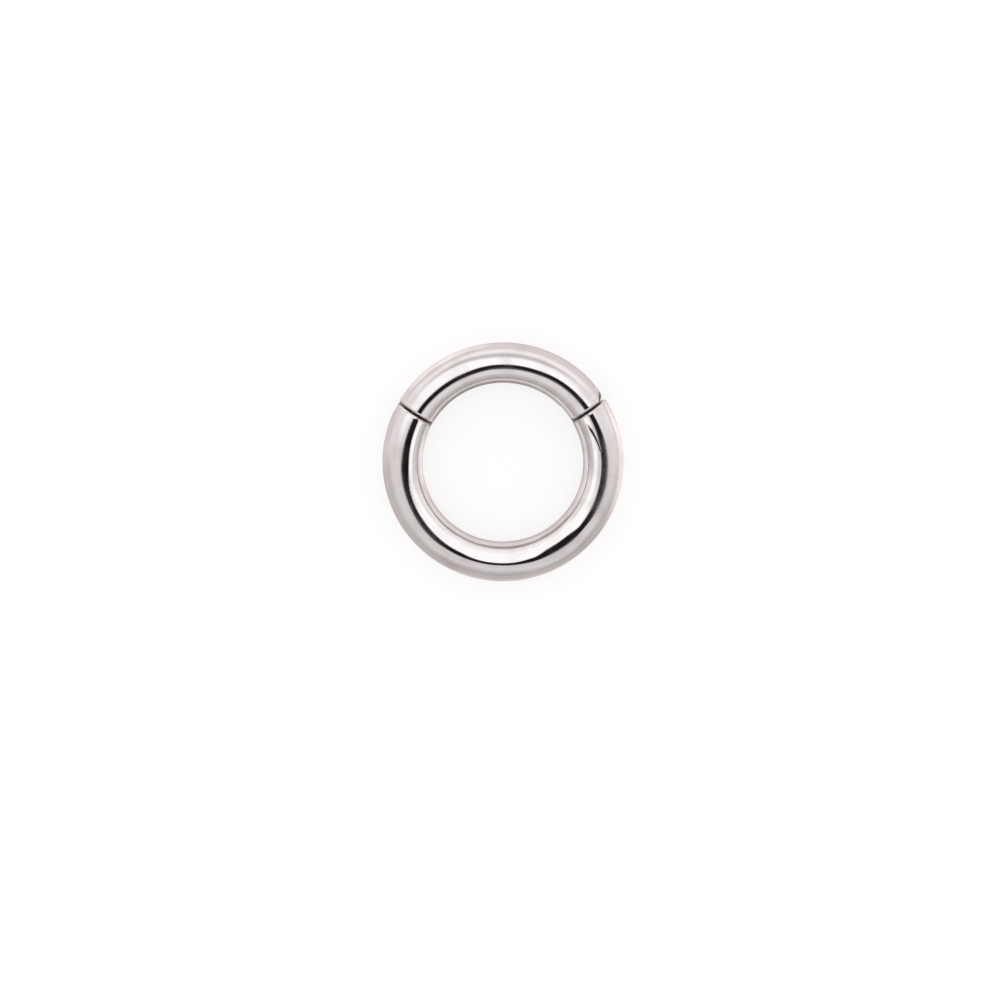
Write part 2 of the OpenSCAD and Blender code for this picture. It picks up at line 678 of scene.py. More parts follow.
@dataclass(frozen=True)
class TrueSurfaces:
    """The curved surfaces of the hoop, which give every corner of a mesh its exact normal.

    A mirror shows the smallest error of a normal, so these are worked out from the surfaces and not from the
    facets.

    Attributes:
        hoop: The hoop.
        gap_sides: For each seam, the seam and the side of it that the piece is on: 1 for the segment's, -1
            for the body's.
        tolerance: How far a point may be from the surface that it is on.
        agreement: Least cosine between a facet's own normal and the surface's.
    """

    hoop: Hoop
    gap_sides: tuple[tuple[Seam, int], ...]
    tolerance: float = 1.0 * MICRON
    agreement: float = 0.93

    # Places of the two finishes in a piece's list of materials.
    POLISHED = 0
    CUT_FACE = 1

    def wire(self, points: np.ndarray) -> tuple[np.ndarray, np.ndarray]:
        """Measures points from the wire's middle line.

        Args:
            points: The points, one a row.

        Returns:
            Each point's distance from that line, and the direction away from it.
        """
        ring = self.hoop.ring
        from_axis = np.hypot(points[:, 0], points[:, 1])
        outward = (from_axis - ring.middle_r) / from_axis
        away = np.stack([points[:, 0] * outward, points[:, 1] * outward, points[:, 2] - ring.middle_z], 1)
        distance = np.linalg.norm(away, axis=1)
        return distance, away / np.maximum(distance, MICRON)[:, None]

    def candidates(self, points: np.ndarray) -> list[tuple[np.ndarray, np.ndarray, bool]]:
        """Lists the surfaces that points may be on.

        Args:
            points: The points, one a row.

        Returns:
            For each surface, which points are on it, its normals there, and whether it is polished.
        """
        hoop = self.hoop
        distance, away = self.wire(points)
        found = []
        for seam, side in self.gap_sides:
            into = np.array(seam.inward) * side
            depth = (points - np.array(seam.middle)) @ into - hoop.seam_gap / 2
            slope = np.clip((hoop.rim_r - depth) / hoop.rim_r, 0, 1)
            level = np.sqrt(1 - slope**2)
            rim = distance - (hoop.ring.wire_r - hoop.rim_r * (1 - level))
            beside = (depth > -self.tolerance) & (depth < hoop.rim_r + self.tolerance)
            here = (np.abs(rim) < self.tolerance) & beside
            normals = level[:, None] * away - slope[:, None] * into
            found.append((here, normals / np.linalg.norm(normals, axis=1)[:, None], True))
        for radius in (hoop.ring.wire_r, hoop.ring.wire_r - hoop.tongue_drop):
            found.append((np.abs(distance - radius) < self.tolerance, away, True))
        hinge = hoop.hinge
        arm = points - np.array(hinge.pin_middle)
        arm[:, 2] = 0
        length = np.linalg.norm(arm, axis=1)
        spoke = arm / np.maximum(length, MICRON)[:, None]
        for radius, sign in (
            (hinge.pin_r, 1),
            (hinge.knuckle_r, 1),
            (hinge.pin_r + hinge.running_gap, -1),
            (hinge.pin_r + hinge.held_gap, -1),
        ):
            found.append((np.abs(length - radius) < self.tolerance, spoke * sign, False))
        return found

    def apply(
        self, piece: bpy.types.Object, polished: bpy.types.Material, cut_face: bpy.types.Material
    ) -> None:
        """Splits the piece into triangles, and gives each corner its normal and each face its finish.

        Args:
            piece: The piece.
            polished: The finish of the wire's surface and rims.
            cut_face: The finish of the end faces, slots, tongues' sides and holes.
        """
        mesh = piece.data
        shape = bmesh.new()
        shape.from_mesh(mesh)
        bmesh.ops.triangulate(shape, faces=shape.faces)
        shape.to_mesh(mesh)
        shape.free()
        points = np.empty(len(mesh.vertices) * 3)
        mesh.vertices.foreach_get("co", points)
        corners = np.empty(len(mesh.loops), int)
        mesh.loops.foreach_get("vertex_index", corners)
        facets = np.empty(len(mesh.polygons) * 3)
        mesh.polygons.foreach_get("normal", facets)
        points, facets = points.reshape(-1, 3), facets.reshape(-1, 3)
        corners = corners.reshape(-1, 3)
        normals = np.repeat(facets[:, None, :], 3, axis=1)
        slots = np.full(len(facets), self.CUT_FACE)
        free = np.ones(len(facets), bool)
        for here, surface, is_polished in self.candidates(points):
            spread = surface[corners]
            agree = np.einsum("fck,fk->fc", spread, facets).min(1) > self.agreement
            on_it = free & here[corners].all(1) & agree
            normals[on_it] = spread[on_it]
            slots[on_it] = self.POLISHED if is_polished else self.CUT_FACE
            free &= ~on_it
        mesh.materials.clear()
        mesh.materials.append(polished)
        mesh.materials.append(cut_face)
        mesh.polygons.foreach_set("material_index", slots)
        mesh.polygons.foreach_set("use_smooth", np.ones(len(facets), bool))
        mesh.update()
        mesh.normals_split_custom_set(normals.reshape(-1, 3))
        log.info("%s: %d triangles, %d of them curved", piece.name, len(facets), int((~free).sum()))


@dataclass(frozen=True)
class BuffedSpot:
    """A place where the polishing wheel dwelt on the crown of the wire and changed its roundness a little.

    Attributes:
        angle: Direction from the ring's centre to the middle of the spot.
        half: Half the spot's length, as an angle.
        flatness: Share by which the crown is flatter there, or rounder where it is below nothing.
        lean: How far the crown is turned there towards the outside of the ring, in radians.
        satin: Roughness that the outer side of the wire has there beyond the rest.
    """

    angle: float
    half: float
    flatness: float
    lean: float
    satin: float = 0.0

    def share(self, tree: bpy.types.NodeTree, bearing: bpy.types.Node) -> bpy.types.Node:
        """Adds the nodes that tell how much a point is in the spot.

        Args:
            tree: The material's tree.
            bearing: The node that gives the direction from the ring's centre to the point.

        Returns:
            A node whose output goes from 0 outside the spot to 1 in its middle.
        """
        turn = math.radians(self.angle)
        middle = (math.cos(turn), math.sin(turn), 0.0)
        nearness = add_node(tree, VECTOR, {0: bearing, 1: middle}, operation="DOT_PRODUCT").outputs["Value"]
        rim = math.cos(math.radians(self.half))
        return add_node(
            tree,
            MAP_RANGE,
            {"Value": nearness, "From Min": rim, "From Max": 1.0},
            interpolation_type="SMOOTHSTEP",
        )


@dataclass(frozen=True)
class Scratch:
    """A shallow scratch in the wire's upper side, along whose floor a dark reflection is painted.

    Attributes:
        start: Its end by the hinge: the direction from the ring's centre, and the distance outwards from the
            wire's highest line.
        stop: Its other end, in the same way.
        half_width: Half its width where it is widest.
        depth: Its depth there.
        widest: Share of its length, from its start, at which it is widest.
        point: Share of its width and depth at its start.
        taper: Share of its width and depth that is left at its other end.
        dark_tone: Colour of the dark reflection painted along its floor.
    """

    start: tuple[float, float] = (26.0, -0.37 * MM)
    stop: tuple[float, float] = (8.0, -0.11 * MM)
    half_width: float = 0.13 * MM
    depth: float = 6 * MICRON
    widest: float = 0.25
    point: float = 0.25
    taper: float = 0.4
    # Painted dark reflection along the scratch's floor, darkest where it is deepest.
    dark_tone: str = "#2A2022"

    def height(
        self, tree: bpy.types.NodeTree, place: bpy.types.Node, ring: Ring, zero: float
    ) -> bpy.types.Node:
        """Adds the nodes for the metal's height in and round the scratch.

        Args:
            tree: The material's tree.
            place: The node that gives a point's place on the straightened wire.
            ring: The ring.
            zero: Direction from the ring's centre to where the length along the wire is nothing.

        Returns:
            A node whose output is the height in metres, which is never above nothing.
        """
        ends = []
        for angle, out in (self.start, self.stop):
            along = math.radians(angle - zero) * ring.middle_r
            ends.append(Vector((out, math.sqrt(ring.wire_r**2 - out**2), along)))
        path = ends[1] - ends[0]
        from_start = add_node(tree, VECTOR, {0: place, 1: ends[0]}, operation="SUBTRACT")
        slope = path / path.length_squared
        run = add_node(tree, VECTOR, {0: from_start, 1: slope}, operation="DOT_PRODUCT").outputs["Value"]
        share = add_node(tree, MAP_RANGE, {"Value": run})
        nearest = add_node(tree, VECTOR, {0: share, 1: path, 2: ends[0]}, operation="MULTIPLY_ADD")
        away = add_node(tree, VECTOR, {0: place, 1: nearest}, operation="DISTANCE").outputs["Value"]
        grown = add_node(tree, MAP_RANGE, {"Value": share, "From Max": self.widest, "To Min": self.point})
        left = add_node(tree, MAP_RANGE, {"Value": share, "To Min": 1.0, "To Max": self.taper})
        size = add_node(tree, MATH, {0: grown, 1: left}, operation="MULTIPLY")
        bank = add_node(tree, MATH, {0: size, 1: self.half_width}, operation="MULTIPLY")
        floor = add_node(tree, MATH, {0: size, 1: -self.depth}, operation="MULTIPLY")
        return add_node(
            tree,
            MAP_RANGE,
            {"Value": away, "From Min": 0.0, "From Max": bank, "To Min": floor, "To Max": 0.0},
            interpolation_type="SMOOTHSTEP",
        )


@dataclass(frozen=True)
class MirrorPolish:
    """Stainless steel buffed with compound on a cloth wheel.

    It mirrors the studio almost sharply. What gives it away as metal that was polished by hand are spots
    where the wheel dwelt, which make the dark reflection thicker, thinner or bent, a scratch by the hinge, a
    faint waviness along the wire, hairlines and patches of haze.

    Attributes:
        ring: The ring that the wire is bent to, which the hairlines follow.
        seam_angle: Direction of the seam where the pattern may start and end unseen.
        steel: Colour of the bare metal.
        edge: Share of the light that the metal keeps where it is seen edge-on, as a colour.
        haze: Colour where the compound left a haze.
        roughness: Roughness of the bare metal.
        haze_roughness: Roughness under the haze.
        haze_size: Width of a patch of haze.
        haze_from: Value of the patches' noise at which the haze starts.
        haze_full: Value from which it is full.
        hairline_width: Width of a hairline, drawn about four times as coarse as a real one so that it shows.
        hairline_length: Length of a hairline along the wire.
        hairline_depth: Depth of a hairline.
        wave_width: Distance between two waves round the wire.
        wave_length: Distance between two waves along the wire.
        wave_depth: Height of a wave.
        crown: Distance from the wire's highest line over which the spots change its roundness.
        satin_from: Where the spots' satin starts, in crowns outwards from that line.
        scratch: The scratch by the hinge.
        spots: The spots where the wheel dwelt.
    """

    ring: Ring
    seam_angle: float
    steel: str = "#CDC6C6"
    edge: str = "#CCC4C4"
    haze: str = "#BFB7B7"
    roughness: float = 0.06
    haze_roughness: float = 0.13
    haze_size: float = 1.1 * MM
    haze_from: float = 0.45
    haze_full: float = 0.75
    hairline_width: float = 0.02 * MM
    hairline_length: float = 0.9 * MM
    hairline_depth: float = 0.25 * MICRON
    wave_width: float = 0.9 * MM
    wave_length: float = 3.5 * MM
    wave_depth: float = 10.0 * MICRON
    crown: float = 0.45 * MM
    satin_from: float = -0.4
    scratch: Scratch = Scratch()
    spots: tuple[BuffedSpot, ...] = (
        BuffedSpot(angle=40, half=34, flatness=-0.10, lean=-0.055),
        BuffedSpot(angle=122, half=26, flatness=0.30, lean=0.025),
        BuffedSpot(angle=168, half=27, flatness=0.42, lean=0.02),
        BuffedSpot(angle=205, half=42, flatness=0.0, lean=-0.035, satin=0.28),
        BuffedSpot(angle=222, half=16, flatness=0.20, lean=-0.015),
        BuffedSpot(angle=265, half=22, flatness=-0.60, lean=0.0),
        BuffedSpot(angle=305, half=17, flatness=0.55, lean=0.045),
        BuffedSpot(angle=352, half=32, flatness=0.15, lean=-0.03, satin=0.28),
    )

    def straightened(self, tree: bpy.types.NodeTree) -> bpy.types.Node:
        """Adds the nodes that give a point's place on the wire as if it were straight.

        Args:
            tree: The material's tree.

        Returns:
            A node whose output is the distance outwards, the height, and the length along the wire.
        """
        there = add_node(tree, "ShaderNodeTexCoord").outputs["Object"]
        turn = (0.0, 0.0, math.radians(180 - self.seam_angle))
        turned = add_node(tree, "ShaderNodeMapping", {"Vector": there, "Rotation": turn})
        split = add_node(tree, "ShaderNodeSeparateXYZ", {0: turned})
        flat = add_node(tree, VECTOR, {0: turned, 1: (1.0, 1.0, 0.0)}, operation="MULTIPLY")
        from_axis = add_node(tree, VECTOR, {0: flat}, operation="LENGTH")
        out = add_node(
            tree, MATH, {0: from_axis.outputs["Value"], 1: self.ring.middle_r}, operation="SUBTRACT"
        )
        up = add_node(tree, MATH, {0: split.outputs["Z"], 1: self.ring.middle_z}, operation="SUBTRACT")
        angle = add_node(tree, MATH, {0: split.outputs["Y"], 1: split.outputs["X"]}, operation="ARCTAN2")
        along = add_node(tree, MATH, {0: angle, 1: self.ring.middle_r}, operation="MULTIPLY")
        return add_node(tree, "ShaderNodeCombineXYZ", {"X": out, "Y": up, "Z": along})

    def dwelling(
        self, tree: bpy.types.NodeTree, place: bpy.types.Node, height: bpy.types.Node
    ) -> tuple[bpy.types.Node, bpy.types.Node]:
        """Adds the nodes for what the buffed spots change: the height over a round wire, and the gloss.

        At x crowns outwards from the wire's highest line, metal that is flatter by a share f rises in
        proportion to f (1 - exp(-x^2)) and metal that leans outwards by an angle b falls in proportion to
        b tanh(x), so that neither changes the wire beyond its crown.

        Args:
            tree: The material's tree.
            place: The node that gives a point's place on the straightened wire.
            height: The node that gives the metal's height without the spots.

        Returns:
            A node whose output is the height in metres, and one whose output is the roughness that they add.
        """
        there = add_node(tree, "ShaderNodeTexCoord").outputs["Object"]
        flat = add_node(tree, VECTOR, {0: there, 1: (1.0, 1.0, 0.0)}, operation="MULTIPLY")
        bearing = add_node(tree, VECTOR, {0: flat}, operation="NORMALIZE")
        out = add_node(tree, "ShaderNodeSeparateXYZ", {0: place}).outputs["X"]
        inner = self.satin_from * self.crown
        outer = add_node(tree, MAP_RANGE, {"Value": out, "From Min": inner, "From Max": self.crown})
        crowns = add_node(tree, MATH, {0: out, 1: self.crown}, operation="DIVIDE")
        square = add_node(tree, MATH, {0: crowns, 1: crowns}, operation="MULTIPLY")
        left = add_node(tree, MATH, {0: 0.0, 1: square}, operation="SUBTRACT")
        bell = add_node(tree, MATH, {0: left}, operation="EXPONENT")
        dome = add_node(tree, MATH, {0: 1.0, 1: bell}, operation="SUBTRACT")
        ramp = add_node(tree, MATH, {0: crowns}, operation="TANH")
        full_dome = self.crown**2 / (2 * self.ring.wire_r)
        satin = 0.0
        for spot in self.spots:
            share = spot.share(tree, bearing)
            bulge = add_node(tree, MATH, {0: dome, 1: spot.flatness * full_dome}, operation="MULTIPLY")
            slope = -spot.lean * self.crown
            shape = add_node(tree, MATH, {0: ramp, 1: slope, 2: bulge}, operation="MULTIPLY_ADD")
            height = add_node(tree, MATH, {0: shape, 1: share, 2: height}, operation="MULTIPLY_ADD")
            satin = add_node(tree, MATH, {0: share, 1: spot.satin, 2: satin}, operation="MULTIPLY_ADD")
        return height, add_node(tree, MATH, {0: satin, 1: outer}, operation="MULTIPLY")

    def material(self) -> bpy.types.Material:
        """Builds the material.

        Returns:
            The material.
        """
        made = blank_material("mirror_polished_stainless_steel")
        tree = made.node_tree
        place = self.straightened(tree)
        scratch = self.scratch.height(tree, place, self.ring, self.seam_angle - 180)
        height, satin = self.dwelling(tree, place, scratch)
        crown = add_node(tree, "ShaderNodeBump", {"Strength": 1.0, "Distance": 1.0, "Height": height})
        thread = 1 / self.hairline_width
        stretched = add_node(
            tree, VECTOR, {0: place, 1: (thread, thread, 1 / self.hairline_length)}, operation="MULTIPLY"
        )
        hairlines = add_node(
            tree, "ShaderNodeTexNoise", {"Vector": stretched, "Scale": 1.0, "Detail": 2.0, "Roughness": 0.6}
        )
        swell = 1 / self.wave_width
        drawn = add_node(
            tree, VECTOR, {0: place, 1: (swell, swell, 1 / self.wave_length)}, operation="MULTIPLY"
        )
        waves = add_node(tree, "ShaderNodeTexNoise", {"Vector": drawn, "Scale": 1.0, "Detail": 1.0})
        patches = add_node(
            tree, "ShaderNodeTexNoise", {"Vector": place, "Scale": 1 / self.haze_size, "Detail": 4.0}
        )
        hazy = add_node(
            tree,
            MAP_RANGE,
            {"Value": patches.outputs[0], "From Min": self.haze_from, "From Max": self.haze_full},
        )
        tone = add_node(
            tree,
            "ShaderNodeMix",
            {"Factor": hazy, "A": linear_colour(self.steel), "B": linear_colour(self.haze)},
            data_type="RGBA",
        )
        # Paints the dark reflection along the scratch's floor. It is full where the scratch is deeper than
        # half its greatest depth.
        half_depth = -self.scratch.depth / 2
        painted_dark_share = add_node(tree, MAP_RANGE, {"Value": scratch, "From Min": 0.0, "From Max": half_depth})
        scratch_darkened = add_node(
            tree,
            "ShaderNodeMix",
            {"Factor": painted_dark_share, "A": tone.outputs["Result"], "B": linear_colour(self.scratch.dark_tone)},
            data_type="RGBA",
        )
        gloss = add_node(
            tree, MAP_RANGE, {"Value": hazy, "To Min": self.roughness, "To Max": self.haze_roughness}
        )
        duller = add_node(tree, MATH, {0: gloss, 1: satin}, operation="ADD")
        waved = add_node(
            tree,
            "ShaderNodeBump",
            {"Strength": 1.0, "Distance": self.wave_depth, "Height": waves.outputs[0], "Normal": crown},
        )
        lined = add_node(
            tree,
            "ShaderNodeBump",
            {
                "Strength": 1.0,
                "Distance": self.hairline_depth,
                "Height": hairlines.outputs[0],
                "Normal": waved,
            },
        )
        surface = add_node(
            tree,
            "ShaderNodeBsdfPrincipled",
            {
                "Base Color": scratch_darkened.outputs["Result"],
                "Metallic": 1.0,
                "Roughness": duller,
                "Specular Tint": linear_colour(self.edge),
                "Normal": lined,
            },
        )
        add_node(tree, "ShaderNodeOutputMaterial", {"Surface": surface})
        return made


@dataclass(frozen=True)
class SawnFace:
    """Stainless steel as a slitting saw and a drill leave it, only deburred.

    It is duller and darker than the polished wire, with fine parallel lines from the cut.

    Attributes:
        steel: Colour of the freshly cut metal.
        dark_tone: Colour of the metal where polishing compound stayed behind.
        roughness: Roughness across the saw lines.
        line_spacing: Distance between saw lines, drawn about twice as coarse as real ones so that they show.
        line_length: Length of a line.
        line_depth: Depth of the lines.
        stain_size: Width of a stain of compound.
    """

    steel: str = "#A6A09E"
    dark_tone: str = "#6E6664"
    roughness: float = 0.34
    line_spacing: float = 0.02 * MM
    line_length: float = 0.24 * MM
    line_depth: float = 1.0 * MICRON
    stain_size: float = 0.3 * MM

    def material(self) -> bpy.types.Material:
        """Builds the material.

        Returns:
            The material.
        """
        made = blank_material("sawn_stainless_steel")
        tree = made.node_tree
        there = add_node(tree, "ShaderNodeTexCoord").outputs["Object"]
        run = 1 / self.line_length
        stretched = add_node(
            tree, VECTOR, {0: there, 1: (run, run, 1 / self.line_spacing)}, operation="MULTIPLY"
        )
        lines = add_node(tree, "ShaderNodeTexNoise", {"Vector": stretched, "Scale": 1.0, "Detail": 2.0})
        stains = add_node(
            tree, "ShaderNodeTexNoise", {"Vector": there, "Scale": 1 / self.stain_size, "Detail": 3.0}
        )
        tone = add_node(
            tree,
            "ShaderNodeMix",
            {"Factor": stains.outputs[0], "A": linear_colour(self.steel), "B": linear_colour(self.dark_tone)},
            data_type="RGBA",
        )
        cut = add_node(
            tree,
            "ShaderNodeBump",
            {"Strength": 1.0, "Distance": self.line_depth, "Height": lines.outputs[0]},
        )
        surface = add_node(
            tree,
            "ShaderNodeBsdfPrincipled",
            {
                "Base Color": tone.outputs["Result"],
                "Metallic": 1.0,
                "Roughness": self.roughness,
                "Normal": cut,
            },
        )
        add_node(tree, "ShaderNodeOutputMaterial", {"Surface": surface})
        return made


@dataclass(frozen=True)
class Finishes:
    """The two finishes of the steel.

    Attributes:
        polished: The wire's surface and rims.
        cut_face: End faces, slots, tongues' sides and holes.
    """

    polished: bpy.types.Material
    cut_face: bpy.types.Material


@dataclass(frozen=True)
class Piece:
    """One piece of the hoop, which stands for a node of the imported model.

    Attributes:
        hoop: The hoop's sizes.
        finishes: The finishes of its steel.
        blank: The round wire that it is made from.
    """

    hoop: Hoop
    finishes: Finishes
    blank: WireBlank

    # The node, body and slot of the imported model, and the side of a seam that the piece ends at, if it does.
    NODE = ""
    BODY = ""
    SLOT = "polished_steel"
    GAP_SIDE = 0

    def build(self) -> bpy.types.Object:
        """Makes the piece's shape."""
        raise NotImplementedError

    def make(self) -> bpy.types.Object:
        """Builds the piece, dresses it and puts it in its node's place.

        Returns:
            The finished piece.
        """
        piece = self.build()
        seams = (self.hoop.hinge.seam, self.hoop.catch)
        surfaces = TrueSurfaces(self.hoop, tuple((seam, self.GAP_SIDE) for seam in seams if self.GAP_SIDE))
        surfaces.apply(piece, self.finishes.polished, self.finishes.cut_face)
        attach(piece, self.BODY)
        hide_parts(self.NODE)
        return piece


@dataclass(frozen=True)
class HoopBody(Piece):
    """The long part of the ring, with the hinge tongue at one end and the catch slot at the other."""

    NODE = "hoop_body"
    BODY = "hoop"
    GAP_SIDE = -1

    def build(self) -> bpy.types.Object:
        """Bends the wire, adds the hinge tongue, and cuts the catch slot and the pin's hole.

        Returns:
            The body.
        """
        hoop, hinge, polished = self.hoop, self.hoop.hinge, self.finishes.polished
        angles = (hoop.catch.angle, hinge.seam.angle + 360)
        body = self.blank.stretch(
            "polished_hoop_body", polished, angles, -hinge.seam.lean, hoop.seam_gap, hoop.rim_r
        )
        corners = hinge.tongue_outline(hoop.reach, hoop.root)
        outline = plate("tongue_plate", hinge.seam, corners, hoop.tongue_t)
        tongue = hoop.tongue("hinge_tongue", hinge.seam, self.blank, polished, outline)
        body = machine(body, tongue, Cut.JOIN)
        slot_floor = -hoop.catch_tip - hinge.tip_gap
        slot = hoop.across_plate("catch_slot", hoop.catch, slot_floor, hoop.root, hoop.slot_t)
        body = machine(body, slot, Cut.REMOVE)
        hole = hinge.drill("tongue_hole", hinge.pin_r + hinge.running_gap, 2 * hoop.reach)
        return machine(body, hole, Cut.REMOVE)


@dataclass(frozen=True)
class SwingSegment(Piece):
    """The short part of the ring, which swings open, with the hinge slot and the catch tongue at its ends.

    Its outer corner at the hinge is cut flat, so that it passes the body.
    """

    NODE = "swing_segment"
    BODY = "segment"
    GAP_SIDE = 1

    def build(self) -> bpy.types.Object:
        """Bends the wire, adds the catch tongue, and cuts the hinge slot, corner flat and pin's hole.

        Returns:
            The segment.
        """
        hoop, hinge, polished = self.hoop, self.hoop.hinge, self.finishes.polished
        angles = (hinge.seam.angle, hoop.catch.angle)
        segment = self.blank.stretch(
            "polished_swing_segment", polished, angles, hinge.seam.lean, hoop.seam_gap, hoop.rim_r
        )
        outline = hoop.across_plate("tongue_plate", hoop.catch, -hoop.catch_tip, hoop.root, hoop.tongue_t)
        tongue = hoop.tongue("catch_tongue", hoop.catch, self.blank, polished, outline)
        segment = machine(segment, tongue, Cut.JOIN)
        slot = hoop.across_plate("hinge_slot", hinge.seam, -hoop.root, hinge.slot_depth, hoop.slot_t)
        segment = machine(segment, slot, Cut.REMOVE)
        corner = plate("corner_cutter", hinge.seam, hinge.corner_outline(hoop.ring.wire_r), 2 * hoop.reach)
        segment = machine(segment, corner, Cut.REMOVE)
        hole = hinge.drill("segment_hole", hinge.pin_r + hinge.held_gap, 2 * hoop.reach)
        return machine(segment, hole, Cut.REMOVE)


@dataclass(frozen=True)
class HingePin(Piece):
    """The pin, with its ends ground flush with the wire and polished with it."""

    NODE = "hinge_pin"
    BODY = "segment"

    def build(self) -> bpy.types.Object:
        """Cuts a round bar to the wire's surface.

        Returns:
            The pin.
        """
        hoop, hinge = self.hoop, self.hoop.hinge
        bar = hinge.drill("polished_hinge_pin", hinge.pin_r, 2 * hoop.reach)
        middle = math.degrees(math.atan2(hinge.pin_middle.y, hinge.pin_middle.x))
        half = math.degrees(hoop.reach / hoop.ring.middle_r)
        around = self.blank.stretch("pin_ends", self.finishes.polished, (middle - half, middle + half))
        return machine(bar, around, Cut.KEEP_COMMON)


@dataclass(frozen=True)
class PhotoView:
    """The photo's view of the ring.

    Attributes:
        ring: The ring.
        tilt: Turn of the camera's axis from straight above, towards the segment.
        lens_mm: Focal length.
        sensor_mm: Width of the sensor.
        picture_px: Width of the picture.
        px_a_mm: Scale of the photo at the ring.
        ring_right_px: How far the ring's centre is right of the picture's.
        ring_up_px: How far it is above the picture's.
        near: Nearest distance that the camera sees.
        far: Farthest distance that it sees.
    """

    RIGHT = Vector((1, 0, 0))

    ring: Ring
    tilt: float = 8.8
    lens_mm: float = 100.0
    sensor_mm: float = 36.0
    picture_px: float = 1000.0
    px_a_mm: float = 20.08
    ring_right_px: float = 2.95
    ring_up_px: float = 37.5
    near: float = 1 * MM
    far: float = 10.0

    @property
    def toward(self) -> Vector:
        """Unit vector along the view axis, from the ring to the camera."""
        turn = math.radians(self.tilt)
        return Vector((0, math.sin(turn), math.cos(turn)))

    @property
    def up(self) -> Vector:
        """Unit vector up the picture."""
        return self.toward.cross(self.RIGHT)

    @property
    def centre(self) -> Vector:
        """Middle of the ring."""
        return Vector((0, 0, self.ring.middle_z))

    def facing(self, right: float, up: float, distance: float) -> Matrix:
        """Gives the place of something flat that faces the ring squarely along the view axis.

        Args:
            right: Its distance right of the view axis.
            up: Its distance above the view axis.
            distance: Its distance from the ring.

        Returns:
            A matrix whose X goes right, whose Y goes up the picture and whose Z goes away from the ring.
        """
        turn = Matrix((self.RIGHT, self.up, self.toward)).transposed().to_4x4()
        place = self.centre + self.RIGHT * right + self.up * up + self.toward * distance
        return Matrix.Translation(place) @ turn

    def camera(self) -> bpy.types.Object:
        """Makes the scene's camera.

        Returns:
            The camera.
        """
        lens = bpy.data.cameras.new("photo_view")
        lens.lens = self.lens_mm
        lens.sensor_width = self.sensor_mm
        lens.clip_start = self.near
        lens.clip_end = self.far
        made = bpy.data.objects.new("photo_view", lens)
        bpy.context.scene.collection.objects.link(made)
        px = MM / self.px_a_mm
        distance = self.picture_px * px * self.lens_mm / self.sensor_mm
        made.matrix_world = self.facing(-self.ring_right_px * px, -self.ring_up_px * px, distance)
        bpy.context.scene.camera = made
        return made


